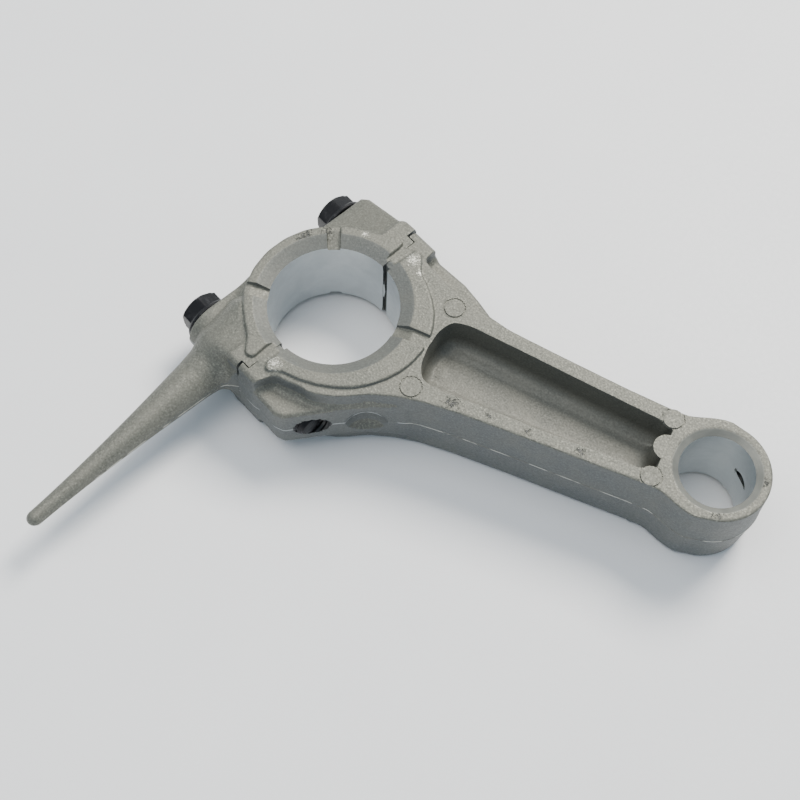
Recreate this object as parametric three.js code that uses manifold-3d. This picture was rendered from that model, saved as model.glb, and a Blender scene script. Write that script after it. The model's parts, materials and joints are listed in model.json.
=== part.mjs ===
// Connecting rod of a small single-cylinder engine, in millimetres, +Z up along both bores.
// Four real pieces: the rod casting, the bearing cap with its oil dipper, and two flange bolts.
// The rod is drawn about the crank bore's centre: +X runs to the piston pin, Z = 0 is mid-thickness.
import * as THREE from 'three';
import { mergeVertices } from 'three/addons/utils/BufferGeometryUtils.js';
import Module from 'manifold-3d';

// Driving dimensions.
const CENTRE_DISTANCE = 110;        // crank bore to piston pin bore
const CRANK_BORE_R = 18;            // 36 mm crank pin
const PIN_BORE_R = 10;              // 20 mm piston pin
const PAD_HEIGHT = 14;              // half thickness over the thrust pads
const FACE_HEIGHT = 13;             // half thickness of the cast faces
const BOSS_HEIGHT = 8;              // half thickness of the bolt bosses
const CRANK_CHAMFER = { width: 3.6, depth: 1.9 };
const PIN_CHAMFER = { width: 1.9, depth: 1.1 };
const SMALL_END_R = 14;
const RING_R = 24.3;                // outside of the cap's ring
const WEB_HALF_THICKNESS = 2.4;     // web left between the two pockets
const SPLIT_ANGLE = -22.2 * Math.PI / 180;   // bolt direction, from bolt head to tip
const BOLT_OFFSET = 24.5;           // bolt axis from the crank bore's centre
const LUG_REACH = 31.5;             // outer corner of the lower lugs, along the split
const UPPER_LUG_REACH = 32.8;
const LUG_WIDTH = 6.9;              // cap lug, along the bolts
const SEAT_DEPTH = 23.6;            // bolt seats behind the split
const SPLIT_GAP = 0.3;              // clearance between cap and rod
const STEP_DEPTH = 2.2;             // locating step at the outer ends of the split
const STEP_START = 29.6;
const BOLT_R = 3.9;                 // M8 shank, just under its nominal size
const BOLT_HOLE_R = 4.25;
const BOLT_LENGTH = 42.8;
const HEX_R = 6.35;                 // half the width across corners
const FLANGE_R = 7.2;
const FLANGE_THICKNESS = 1.4;
const HEAD_HEIGHT = 6;
const BOLT_GAP = 0.3;
const GROOVE_WIDTH = 3.8;           // oil grooves across the thrust pads
const DIPPER_ROOT = [-23.6, -22.1];
const DIPPER_TIP = [-44.4, -86.5];
const DIPPER_ROOT_R = 7.1;
const DIPPER_TIP_R = 2.1;
const DIPPER_FLATNESS = 0.95;       // thickness over width
const OIL_HOLE_R = 1.1;
const OIL_HOLE_CENTRE = [115.9, 10.4];   // in the wall of the small end
const OIL_HOLE_TURN = 18 * Math.PI / 180; // lean of its axis from the Y axis
const DIMPLE_CENTRE = [22.7, -25.7];
const DIMPLE_R = 6.4;
const CAST_DRAFT = 0.6;             // how far cast sides bulge at mid-thickness
const ROUND_SEGMENTS = 48;
const SMALL_SEGMENTS = 20;
const FAR = 60;                     // size of the cutting blocks

const wasm = await Module();
wasm.setup();

// Unit vectors in the plane: ALONG_BOLT points from cap to rod, ALONG_SPLIT lies in the split face.
const ALONG_BOLT = new THREE.Vector3(Math.cos(SPLIT_ANGLE), Math.sin(SPLIT_ANGLE), 0);
const ALONG_SPLIT = new THREE.Vector3(-ALONG_BOLT.y, ALONG_BOLT.x, 0);

// A point given along the bolts and along the split, as plane x and y.
function splitPoint(along, across) {
  return [
    along * ALONG_BOLT.x + across * ALONG_SPLIT.x,
    along * ALONG_BOLT.y + across * ALONG_SPLIT.y,
  ];
}

function toSolid(geometry) {
  const bare = geometry.clone();
  bare.deleteAttribute('normal');
  bare.deleteAttribute('uv');
  const merged = mergeVertices(bare, 1e-4);
  return new wasm.Manifold(new wasm.Mesh({
    numProp: 3,
    vertProperties: new Float32Array(merged.attributes.position.array),
    triVerts: new Uint32Array(merged.index.array),
  }));
}

function toMesh(name, solid, material) {
  const data = solid.getMesh();
  const geometry = new THREE.BufferGeometry();
  geometry.setAttribute('position', new THREE.BufferAttribute(new Float32Array(data.vertProperties), 3));
  geometry.setIndex(new THREE.BufferAttribute(new Uint32Array(data.triVerts), 1));
  geometry.computeVertexNormals();
  const mesh = new THREE.Mesh(geometry, material);
  mesh.name = name;
  return mesh;
}

function unite(solids) {
  return solids.reduce((whole, next) => whole.add(next));
}

// A closed outline of straight sides, given as [x, y] points.
function outline(points) {
  return new THREE.Shape(points.map(([x, y]) => new THREE.Vector2(x, y)));
}

// A closed outline that curves smoothly through its points.
function smoothOutline(points, divisions) {
  const curve = new THREE.CatmullRomCurve3(points.map(([x, y]) => new THREE.Vector3(x, y, 0)), true);
  return new THREE.Shape(curve.getPoints(divisions).slice(0, -1).map((p) => new THREE.Vector2(p.x, p.y)));
}

// A plate with this outline between two heights.
function plate(shape, low, high) {
  const geometry = new THREE.ExtrudeGeometry(shape, { depth: high - low, bevelEnabled: false, curveSegments: 16 });
  geometry.translate(0, 0, low);
  return toSolid(geometry);
}

// A plate that is symmetric about mid-thickness, its edges broken by a chamfer.
function chamferedPlate(shape, halfHeight, chamfer) {
  const geometry = new THREE.ExtrudeGeometry(shape, {
    depth: 2 * (halfHeight - chamfer),
    bevelEnabled: true,
    bevelThickness: chamfer,
    bevelSize: chamfer,
    bevelOffset: -chamfer,
    bevelSegments: 1,
    curveSegments: 16,
  });
  geometry.translate(0, 0, -(halfHeight - chamfer));
  return toSolid(geometry);
}

// A cast plate: its outline on both faces, and sides that swell by the draft at mid-thickness.
function castPlate(shape, halfHeight, draft = CAST_DRAFT) {
  const band = 0.4;
  const geometry = new THREE.ExtrudeGeometry(shape, {
    depth: band,
    bevelEnabled: true,
    bevelThickness: halfHeight - band / 2,
    bevelSize: draft,
    bevelOffset: 0,
    bevelSegments: 1,
    curveSegments: 24,
  });
  geometry.translate(0, 0, -band / 2);
  return toSolid(geometry);
}

function circle(x, y, radius) {
  return new THREE.Shape().absarc(x, y, radius, 0, 2 * Math.PI, false);
}

// The space of a bore along Z: the bore itself, opened by a chamfer at each face.
function boreSpace(x, radius, chamfer, faceHeight) {
  const beyondFace = 2;
  const top = faceHeight + beyondFace;
  const straight = faceHeight - chamfer.depth;
  const mouth = radius + chamfer.width * (1 + beyondFace / chamfer.depth);
  const profile = [
    [0, -top], [mouth, -top], [radius, -straight], [radius, straight], [mouth, top], [0, top],
  ].map(([r, z]) => new THREE.Vector2(r, z));
  const geometry = new THREE.LatheGeometry(profile, ROUND_SEGMENTS);
  geometry.rotateX(Math.PI / 2);
  geometry.translate(x, 0, 0);
  return toSolid(geometry);
}

// A block given by its extents along the bolts, along the split and in height.
function splitBlock(alongLow, alongHigh, acrossLow, acrossHigh, low, high) {
  return plate(outline([
    splitPoint(alongLow, acrossLow),
    splitPoint(alongHigh, acrossLow),
    splitPoint(alongHigh, acrossHigh),
    splitPoint(alongLow, acrossHigh),
  ]), low, high);
}

// A round bar on a bolt's axis, between two places along the bolts.
function boltBar(across, radius, alongLow, alongHigh, segments = SMALL_SEGMENTS) {
  const geometry = new THREE.CylinderGeometry(radius, radius, alongHigh - alongLow, segments);
  geometry.rotateZ(-Math.PI / 2 + SPLIT_ANGLE);
  const [x, y] = splitPoint((alongLow + alongHigh) / 2, across);
  geometry.translate(x, y, 0);
  return toSolid(geometry);
}

// Both faces get the same feature.
function onBothFaces(makeFeature) {
  return unite([makeFeature(1), makeFeature(-1)]);
}

function between(sign, near, far) {
  return sign > 0 ? [near, far] : [-far, -near];
}

// An oil groove that crosses a thrust pad at this angle, down to the cast face.
function oilGroove(angleDegrees) {
  const floor = FACE_HEIGHT - 0.1;
  const inner = CRANK_BORE_R - 4;
  const outer = RING_R + 4.2;
  return onBothFaces((sign) => {
    const [low, high] = between(sign, floor, PAD_HEIGHT + 4);
    const geometry = new THREE.BoxGeometry(outer - inner, GROOVE_WIDTH, high - low);
    geometry.translate((inner + outer) / 2, 0, (low + high) / 2);
    geometry.rotateZ(angleDegrees * Math.PI / 180);
    return toSolid(geometry);
  });
}

// The side of the split that the rod keeps, with its locating steps at the outer ends.
function rodSideOfSplit() {
  const main = splitBlock(SPLIT_GAP / 2, 3 * FAR, -FAR, FAR, -FAR, FAR);
  const steps = [-1, 1].map((side) => {
    const ends = [side * STEP_START, side * FAR].sort((a, b) => a - b);
    return splitBlock(-STEP_DEPTH, 1, ends[0], ends[1], -FAR, FAR);
  });
  return unite([main, ...steps]);
}

// The side that the cap keeps, clear of those steps.
function capSideOfSplit() {
  const main = splitBlock(-2 * FAR, -SPLIT_GAP / 2, -2 * FAR, FAR, -FAR, FAR);
  const steps = [-1, 1].map((side) => {
    const ends = [side * (STEP_START - SPLIT_GAP), side * FAR].sort((a, b) => a - b);
    return splitBlock(-STEP_DEPTH - SPLIT_GAP, 1, ends[0], ends[1], -FAR, FAR);
  });
  return steps.reduce((rest, step) => rest.subtract(step), main);
}

// The rod casting.
function makeRodBody(material) {
  const shank = castPlate(outline([
    [4, -26.2], [12, -24.9], [20, -20.4], [27, -17.7], [34, -16], [44, -14.8], [60, -13.7], [80, -12.6],
    [92, -11.9], [99, -11.7], [104.5, -12.9], [110, -13.9], [110, 13.9], [104, 12.5], [98.5, 11.2],
    [92, 11.1], [80, 11.5], [60, 12.7], [46, 13.7], [38, 15.4], [27, 18.2], [20, 21.4], [12, 25.4],
  ]), FACE_HEIGHT);
  const hub = castPlate(circle(0, 0, 26.2), FACE_HEIGHT);
  const smallEnd = castPlate(circle(CENTRE_DISTANCE, 0, SMALL_END_R), FACE_HEIGHT);
  const upperLug = chamferedPlate(outline([
    splitPoint(-4, 18), splitPoint(7.5, 18), splitPoint(6.2, 27), splitPoint(5.6, UPPER_LUG_REACH),
    splitPoint(-4, UPPER_LUG_REACH),
  ]), FACE_HEIGHT, 1.5);
  const lowerLug = chamferedPlate(outline([
    splitPoint(-4, -LUG_REACH), splitPoint(4, -LUG_REACH), splitPoint(5.5, -27), splitPoint(8.5, -18),
    splitPoint(-4, -18),
  ]), FACE_HEIGHT, 0.9);
  const upperBoss = chamferedPlate(outline([
    splitPoint(0, 14), [30, 4], [46, 13.2], [40, 17.2], [34, 21], [28.4, 24.1], splitPoint(5, 32.6),
    splitPoint(0, LUG_REACH),
  ]), BOSS_HEIGHT, 1.2);
  const lowerBoss = chamferedPlate(outline([
    splitPoint(0, -LUG_REACH), splitPoint(12.4, -31.9), splitPoint(14.8, -30.9), [8.6, -29.6], [14.6, -25.3],
    [21.5, -20.9], [30, -17], [30, -4], splitPoint(0, -14),
  ]), BOSS_HEIGHT, 1.2);
  const padOutline = outline([
    splitPoint(2.2, -15), splitPoint(2.2, -23.4), [-5.9, -25.6], [-4.4, -25.2], [1, -24.3], [6, -23.9],
    [12, -22.5], [18, -19.1], [23, -13.9], [26.6, -7.6], [27.8, -2], [27.8, 3], [26.6, 7.4], [23, 13.7], [18.4, 18.6],
    [15.5, 21.4], [14.3, 23.3], [12.6, 23.9], splitPoint(2.2, 22.4), splitPoint(2.2, 15),
  ]);
  const pads = plate(padOutline, -PAD_HEIGHT, PAD_HEIGHT);
  let solid = unite([hub, shank, smallEnd, upperLug, lowerLug, upperBoss, lowerBoss, pads]);
  solid = solid.intersect(rodSideOfSplit());

  const pocketOutline = smoothOutline([
    [28.4, 0], [29.3, 5.6], [32.2, 8.9], [37, 9.9], [50, 9.35], [65, 8.4], [80, 7.5], [90.5, 6.8], [92.6, 5.9],
    [95.2, 5], [93.4, 3.2], [92.2, 0], [93.4, -3.6], [95.2, -5.4], [92.6, -7.2], [90.5, -8.2], [80, -8.9],
    [65, -9.7], [50, -10.3], [37, -10.8], [32.2, -9.8], [29.3, -6],
  ], 66);
  const pockets = onBothFaces((sign) => {
    const [low, high] = between(sign, WEB_HALF_THICKNESS, FAR);
    return plate(pocketOutline, low, high);
  });
  const sideDimple = toSolid(new THREE.SphereGeometry(DIMPLE_R, 16, 12).translate(...DIMPLE_CENTRE, 0));
  const oilHole = toSolid(new THREE.CylinderGeometry(OIL_HOLE_R, OIL_HOLE_R, 12, 12)
    .rotateZ(OIL_HOLE_TURN).translate(...OIL_HOLE_CENTRE, 0));
  return toMesh('rod_body', [
    boreSpace(0, CRANK_BORE_R, CRANK_CHAMFER, PAD_HEIGHT),
    boreSpace(CENTRE_DISTANCE, PIN_BORE_R, PIN_CHAMFER, FACE_HEIGHT),
    pockets,
    oilGroove(0.6),
    boltBar(-BOLT_OFFSET, BOLT_HOLE_R, -10, 40),
    boltBar(BOLT_OFFSET, BOLT_HOLE_R, -10, BOLT_LENGTH - SEAT_DEPTH + 2),
    sideDimple,
    oilHole,
  ].reduce((rest, cut) => rest.subtract(cut), solid), material);
}

// The dipper: a spike of nearly round section whose radius falls with the 1.5th power of the way left
// to its round nose.
function makeDipper() {
  const root = new THREE.Vector3(...DIPPER_ROOT, 0);
  const tip = new THREE.Vector3(...DIPPER_TIP, 0);
  const reach = tip.distanceTo(root) - DIPPER_TIP_R;
  const spike = new THREE.CylinderGeometry(1, 1, reach, SMALL_SEGMENTS, 10);
  spike.translate(0, reach / 2, 0);
  const points = spike.attributes.position;
  for (let i = 0; i < points.count; i += 1) {
    const left = Math.max(0, 1 - points.getY(i) / reach);
    const radius = DIPPER_TIP_R + (DIPPER_ROOT_R - DIPPER_TIP_R) * left ** 1.5;
    points.setX(i, points.getX(i) * radius);
    points.setZ(i, points.getZ(i) * radius);
  }
  const nose = new THREE.SphereGeometry(DIPPER_TIP_R, SMALL_SEGMENTS, 10);
  nose.translate(0, reach, 0);
  return unite([spike, nose].map((geometry) => {
    geometry.scale(1, 1, DIPPER_FLATNESS);
    geometry.rotateZ(Math.atan2(tip.y - root.y, tip.x - root.x) - Math.PI / 2);
    geometry.translate(root.x, root.y, 0);
    return toSolid(geometry);
  }));
}

// The bearing cap, cast in one piece with the dipper that splashes oil from the sump.
function makeBearingCap(material) {
  const hub = castPlate(circle(0, 0, RING_R - 0.3), FACE_HEIGHT);
  const lugs = [[-LUG_REACH, -17], [17, UPPER_LUG_REACH]].map(([low, high]) => chamferedPlate(outline([
    splitPoint(-LUG_WIDTH, low), splitPoint(3, low), splitPoint(3, high), splitPoint(-LUG_WIDTH, high),
  ]), FACE_HEIGHT, 1.2));
  const upperBoss = chamferedPlate(outline([
    splitPoint(-SEAT_DEPTH, 16.2), splitPoint(-4, 12), splitPoint(-4, 31.8), splitPoint(-21.5, 32),
    splitPoint(-SEAT_DEPTH, 30.6),
  ]), BOSS_HEIGHT, 1.2);
  const lowerBoss = chamferedPlate(outline([
    splitPoint(-SEAT_DEPTH, -30.6), splitPoint(-21.5, -32), splitPoint(-4, -31.3), splitPoint(-4, -10),
    splitPoint(-SEAT_DEPTH, -10),
  ]), BOSS_HEIGHT, 1.2);
  const padOutline = outline([
    splitPoint(-1.2, 15), [8.1, 24.6], [7, 25.5], [5.4, 25.5], [0, RING_R], [-6, 23.5], [-12, 21.1],
    [-17.2, 17.2], [-21, 12.2], [-23.5, 6.2], [-RING_R, 0], [-23.6, -5.8], [-21.4, -11.5], [-18, -16.3],
    [-15.2, -19.6], [-14.4, -22.6], [-12.7, -23.7], [-11.2, -22.7], splitPoint(-1.6, -19.5),
    splitPoint(-1.6, -14),
  ]);
  const pads = plate(padOutline, -PAD_HEIGHT, PAD_HEIGHT);

  let solid = unite([hub, ...lugs, upperBoss, lowerBoss, pads, makeDipper()]);
  solid = solid.intersect(capSideOfSplit());
  return toMesh('bearing_cap', [
    boreSpace(0, CRANK_BORE_R, CRANK_CHAMFER, PAD_HEIGHT),
    oilGroove(116.7),
    oilGroove(196),
    boltBar(BOLT_OFFSET, BOLT_HOLE_R, -FAR, 10),
    boltBar(-BOLT_OFFSET, BOLT_HOLE_R, -FAR, 10),
  ].reduce((rest, cut) => rest.subtract(cut), solid), material);
}

// A hex flange bolt on the given side of the crank bore.
function makeCapBolt(name, across, material) {
  const profile = [
    [0, 0], [HEX_R * 0.8, 0], [HEX_R, 0.8], [HEX_R, HEAD_HEIGHT - FLANGE_THICKNESS],
    [FLANGE_R, HEAD_HEIGHT - FLANGE_THICKNESS], [FLANGE_R, HEAD_HEIGHT], [BOLT_R, HEAD_HEIGHT],
    [BOLT_R, HEAD_HEIGHT + BOLT_LENGTH - 1], [BOLT_R - 0.8, HEAD_HEIGHT + BOLT_LENGTH],
    [0, HEAD_HEIGHT + BOLT_LENGTH],
  ].map(([r, y]) => new THREE.Vector2(r, y));
  const turned = toSolid(new THREE.LatheGeometry(profile, 24));
  const hexBar = new THREE.CylinderGeometry(HEX_R, HEX_R, HEAD_HEIGHT, 6);
  hexBar.translate(0, HEAD_HEIGHT / 2, 0);
  const belowHex = new THREE.CylinderGeometry(2 * FLANGE_R, 2 * FLANGE_R, BOLT_LENGTH + 10, 24);
  belowHex.translate(0, HEAD_HEIGHT - FLANGE_THICKNESS + (BOLT_LENGTH + 10) / 2, 0);
  const solid = turned.intersect(toSolid(hexBar).add(toSolid(belowHex)));
  const mesh = toMesh(name, solid, material);
  const [x, y] = splitPoint(-SEAT_DEPTH - BOLT_GAP - HEAD_HEIGHT, across);
  mesh.rotation.z = -Math.PI / 2 + SPLIT_ANGLE;
  mesh.position.set(x, y, 0);
  return mesh;
}

const castAluminium = new THREE.MeshStandardMaterial({ color: 0x9f9f96, roughness: 0.62, metalness: 0.75 });
const capAluminium = new THREE.MeshStandardMaterial({ color: 0xa09f95, roughness: 0.6, metalness: 0.75 });
const blackSteel = new THREE.MeshStandardMaterial({ color: 0x1f2024, roughness: 0.45, metalness: 0.8 });

const connectingRod = new THREE.Group();
connectingRod.add(
  makeRodBody(castAluminium),
  makeBearingCap(capAluminium),
  makeCapBolt('upper_cap_bolt', BOLT_OFFSET, blackSteel),
  makeCapBolt('lower_cap_bolt', -BOLT_OFFSET, blackSteel),
);

// The part stands with the middle of its base at the origin.
const box = new THREE.Box3().setFromObject(connectingRod, true);
connectingRod.position.set(-(box.min.x + box.max.x) / 2, -(box.min.y + box.max.y) / 2, -box.min.z);

export default connectingRod;
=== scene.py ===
"""Looks of a small engine's connecting rod: two aluminium castings and two black flange bolts.

Lengths inside the builders are millimetres about the crank bore's centre at mid-thickness: +X runs to
the piston pin and +Z is up along both bores. Workshop.place() turns them into metres in the row frame.
"""

import json
import logging
import math
from dataclasses import dataclass, field
from enum import Enum, IntEnum
from typing import Callable, Sequence

import bmesh
import bpy
import numpy as np
from mathutils import Matrix, Vector


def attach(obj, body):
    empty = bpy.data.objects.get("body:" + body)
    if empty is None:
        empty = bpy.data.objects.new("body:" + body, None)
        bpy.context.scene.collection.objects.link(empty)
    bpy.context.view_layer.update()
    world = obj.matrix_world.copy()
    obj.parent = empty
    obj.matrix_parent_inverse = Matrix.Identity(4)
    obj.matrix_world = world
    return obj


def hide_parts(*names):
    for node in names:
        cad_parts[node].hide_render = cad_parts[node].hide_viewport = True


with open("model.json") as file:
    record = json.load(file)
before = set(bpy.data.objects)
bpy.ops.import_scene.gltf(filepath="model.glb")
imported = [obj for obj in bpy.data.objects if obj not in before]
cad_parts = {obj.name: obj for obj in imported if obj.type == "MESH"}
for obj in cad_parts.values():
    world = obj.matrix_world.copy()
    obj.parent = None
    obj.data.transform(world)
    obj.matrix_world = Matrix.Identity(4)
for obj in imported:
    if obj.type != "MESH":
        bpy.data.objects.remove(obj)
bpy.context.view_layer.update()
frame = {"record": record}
MM = 0.001

logging.basicConfig(level=logging.INFO, format="%(message)s")
log = logging.getLogger("connecting_rod")

Array = np.ndarray
Shape = Callable[[Array, Array, Array], Array]
Point = tuple[float, float]


# ---------------------------------------------------------------- solid shapes as signed distances


def both(a: Array, b: Array, edge: float = 0.0) -> Array:
    """What two shapes share, its outer edge rounded: inside the rounding the distance is that of an arc.

    Args:
        a: Signed distance of the first shape, negative inside.
        b: Signed distance of the second shape.
        edge: Radius of the rounded edge.

    Returns:
        The larger distance, or the arc's where both are within the radius.
    """
    if edge == 0.0:
        return np.maximum(a, b)
    arc = np.hypot(np.maximum(a + edge, 0.0), np.maximum(b + edge, 0.0))
    return np.minimum(np.maximum(a, b), -edge) + arc


def joined(a: Array, b: Array, fillet: float = 0.0) -> Array:
    """Two shapes cast together, the inner corner between them filled with this radius."""
    return -both(-a, -b, fillet)


def cut(a: Array, b: Array, edge: float = 0.0) -> Array:
    """The first shape without the second, the rim of the cut rounded with this radius."""
    return both(a, -b, edge)


@dataclass(frozen=True)
class Outline:
    """A closed outline in the plane, its corners rounded.

    Attributes:
        corners: The corner points, in order. A third number is that corner's own radius.
        radius: Radius of the other corners, less where the sides are too short for it.
        steps: Pieces that each rounded corner is made of.
        margin: How far from the outline's box the distance to the box is near enough.
    """

    corners: Sequence[tuple[float, ...]]
    radius: float = 1.0
    steps: int = 4
    margin: float = 7.0

    def points(self) -> Array:
        """The outline with its corners rounded.

        Each corner is a quadratic curve between two points on its sides, as far from the corner as
        the radius times the tangent of half the turn.

        Returns:
            An array of points, one row each.
        """
        here = np.array([corner[:2] for corner in self.corners], float)
        radii = np.array([corner[2] if len(corner) > 2 else self.radius for corner in self.corners])
        back, ahead = np.roll(here, 1, axis=0) - here, np.roll(here, -1, axis=0) - here
        back_length, ahead_length = np.linalg.norm(back, axis=1), np.linalg.norm(ahead, axis=1)
        back, ahead = back / back_length[:, None], ahead / ahead_length[:, None]
        turn = math.pi - np.arccos(np.clip((back * ahead).sum(1), -1.0, 1.0))
        reach = radii * np.tan(np.minimum(turn, 2.6) / 2)
        reach = np.minimum(reach, 0.49 * np.minimum(back_length, ahead_length))[:, None]
        start, end = here + back * reach, here + ahead * reach
        t = np.linspace(0.0, 1.0, self.steps + 1)[None, :, None]
        curve = (1 - t) ** 2 * start[:, None] + 2 * t * (1 - t) * here[:, None] + t**2 * end[:, None]
        return curve.reshape(-1, 2)

    def distance(self, x: Array, y: Array) -> Array:
        """Signed distance to the outline, negative inside.

        The distance is the least one to any side. A point is inside when a line from it crosses
        the sides an odd number of times.

        Args:
            x: Place along the rod.
            y: Place across the rod.

        Returns:
            The distance at each place.
        """
        x, y = np.broadcast_arrays(x, y)
        ends = self.points()
        (left, front), (right, back) = ends.min(axis=0), ends.max(axis=0)
        box = np.hypot(np.maximum(np.maximum(left - x, x - right), 0), np.maximum(np.maximum(front - y, y - back), 0))
        near = box < self.margin
        box[near] = self._exact(ends, x[near], y[near])
        return box

    def _exact(self, ends: Array, x: Array, y: Array) -> Array:
        """Signed distance by comparing every side, for the places near the outline.

        Args:
            ends: End point of each side.
            x: Place along the rod.
            y: Place across the rod.

        Returns:
            The distance at each place.
        """
        starts = np.roll(ends, 1, axis=0)
        nearest = np.full(x.shape, np.inf)
        inside = np.zeros(x.shape, bool)
        for (ax, ay), (bx, by) in zip(starts, ends):
            ex, ey = bx - ax, by - ay
            length = ex * ex + ey * ey
            if length < 1e-12:
                continue
            px, py = x - ax, y - ay
            t = np.clip((px * ex + py * ey) / length, 0.0, 1.0)
            nearest = np.minimum(nearest, (px - ex * t) ** 2 + (py - ey * t) ** 2)
            crosses = ((ay > y) != (by > y)) & ((ex * py - ey * px > 0) == (by > ay))
            inside ^= crosses
        return np.where(inside, -1.0, 1.0) * np.sqrt(nearest)


@dataclass(frozen=True)
class SplitPlane:
    """The oblique plane where the cap leaves the rod.

    Attributes:
        angle: Direction of the bolts, from head to tip, in degrees from +X.
    """

    angle: float = -22.2

    @property
    def along(self) -> Array:
        """Direction from cap to rod, along the bolts."""
        return np.array([math.cos(math.radians(self.angle)), math.sin(math.radians(self.angle))])

    @property
    def across(self) -> Array:
        """Direction in the split face."""
        return np.array([-self.along[1], self.along[0]])

    def point(self, along: float, across: float) -> Point:
        """A point given along the bolts and across them, as x and y."""
        x, y = along * self.along + across * self.across
        return float(x), float(y)

    def read(self, x: Array, y: Array) -> tuple[Array, Array]:
        """Places given as x and y, read along the bolts and across them."""
        return x * self.along[0] + y * self.along[1], x * self.across[0] + y * self.across[1]


SPLIT = SplitPlane()


@dataclass(frozen=True)
class RodSizes:
    """Sizes that the two castings share, in millimetres. Heights are from mid-thickness.

    Attributes:
        centres: Distance from the crank bore to the piston pin bore.
        crank_bore: Radius of the crank bore.
        pin_bore: Radius of the pin bore.
        pad: Height of the thrust pads.
        face: Height of the cast faces.
        boss: Height of the bolt bosses.
        crank_chamfer: Width and depth of the crank bore's chamfer.
        pin_chamfer: Width and depth of the pin bore's chamfer.
        web: Height of the web between the pockets.
        draft: How far the cast sides lean out at mid-thickness.
        fin: How far the parting line stands out.
        fin_width: Half its width.
        bolt_offset: Distance of each bolt from the rod's middle.
        bolt_hole: Radius of the bolt holes.
        thread_pitch: Pitch of the bolts' thread.
        seat: Distance of the bolts' seats behind the crank bore's centre.
        seat_gap: Room under a bolt's head.
        gap: Width of the split.
        step_gap: Room at the split's locating steps.
        step_depth: Depth of those steps.
        step_start: Distance of the steps from the rod's middle.
        groove: Width of the oil grooves.
    """

    centres: float = 110.0
    crank_bore: float = 18.0
    pin_bore: float = 10.0
    pad: float = 14.0
    face: float = 13.0
    boss: float = 8.0
    crank_chamfer: Point = (3.6, 1.9)
    pin_chamfer: Point = (1.9, 1.1)
    web: float = 2.4
    draft: float = 0.6
    fin: float = 0.12
    fin_width: float = 0.2
    bolt_offset: float = 24.5
    bolt_hole: float = 4.25
    thread_pitch: float = 1.25
    seat: float = 23.6
    seat_gap: float = 0.3
    gap: float = 0.16
    step_gap: float = 0.75
    step_depth: float = 2.2
    step_start: float = 29.6
    groove: float = 3.8


SIZES = RodSizes()


def lean(height: Array) -> Array:
    """How far cast sides stand out at this height: the draft, growing to mid-thickness, and the fin
    left at the parting line, which falls off as a bell curve.

    Args:
        height: Height from mid-thickness.

    Returns:
        The distance added to the outline.
    """
    draft = SIZES.draft * (1.0 - np.abs(height) / SIZES.face)
    return draft + SIZES.fin * np.exp(-((height / SIZES.fin_width) ** 2))


def bore(x: Array, y: Array, height: Array, radius: float, chamfer: Point, face: float) -> Array:
    """The space of a bore with a chamfer at both faces.

    Args:
        x: Place from the bore's centre.
        y: Place from the bore's centre.
        height: Height from mid-thickness.
        radius: Bore radius.
        chamfer: Width and depth of the chamfer.
        face: Height of the face it opens to.

    Returns:
        Signed distance, negative in the space.
    """
    reach, (width, depth) = np.hypot(x, y) - radius, chamfer
    cone = (reach * depth - (np.abs(height) - (face - depth)) * width) / math.hypot(width, depth)
    return np.minimum(reach, cone)


ON_FACE = 0.05


def on_chamfer(x: Array, y: Array, height: Array, radius: float, chamfer: Point, face: float) -> Array:
    """Whether places on a casting's surface lie on a bore's chamfer, given as for bore()."""
    close = np.abs(bore(x, y, height, radius, chamfer, face)) < ON_FACE
    return close & (np.abs(height) > face - chamfer[1])


def on_crank_bore(x: Array, y: Array, steep: Array) -> Array:
    """Whether places on a casting's surface lie on the wall of the crank bore."""
    return (np.hypot(x, y) - SIZES.crank_bore < 0.06) & (steep > 0.8)


def split_relief(x: Array, y: Array, height: Array) -> Array:
    """The shallow space cut into the crank bore along the split.

    Its rod side is straight. Its cap side spreads from mid-thickness to both faces.

    Args:
        x: Place along the rod.
        y: Place across the rod.
        height: Height from mid-thickness.

    Returns:
        Signed distance, negative in the space.
    """
    rod_side, cap_side, spread, deep, start = 1.7, 0.9, 0.1, 0.9, 10.0
    along, across = SPLIT.read(x, y)
    sides = np.maximum(along - rod_side, cap_side - spread * np.abs(height) - along)
    depth = np.maximum(np.hypot(x, y) - SIZES.crank_bore - deep, start - np.abs(across))
    return np.maximum(sides, depth)


def oil_groove(x: Array, y: Array, height: Array, degrees: float) -> Array:
    """The space of an oil groove that runs outwards across a thrust pad.

    Its floor slopes gently down to the bore's edge. Its sides spread a little.

    Args:
        x: Place along the rod.
        y: Place across the rod.
        height: Height from mid-thickness.
        degrees: Direction of the groove.

    Returns:
        Signed distance, negative in the space.
    """
    c, s = math.cos(math.radians(degrees)), math.sin(math.radians(degrees))
    outwards, aside = x * c + y * s, -x * s + y * c
    above = np.abs(height)
    floor = np.minimum(SIZES.face - 0.05, 11.3 + 0.33 * (np.hypot(x, y) - SIZES.crank_bore))
    side = np.abs(aside) - SIZES.groove / 2 - 0.12 * (above - SIZES.face)
    return both(both(side, floor - above, 0.25), SIZES.crank_bore - 4 - outwards)


def triangle_wave(turns: Array) -> Array:
    """1 at each whole turn, falling straight to 0 at the half turns between."""
    return np.abs(2.0 * (turns - np.floor(turns)) - 1.0)


def thread_ridges(along: Array, aside: Array, height: Array, pitch: float) -> Array:
    """A helical thread's height: a triangle wave of the place along the axis less one pitch a turn.

    Args:
        along: Place along the thread's axis.
        aside: Place beside the axis, in the split's plane.
        height: Height above the axis.
        pitch: Thread pitch.

    Returns:
        0 in the root to 1 at the crest.
    """
    turns = along / pitch - np.arctan2(height, aside) / (2 * math.pi)
    return 1.0 - triangle_wave(turns)


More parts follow.
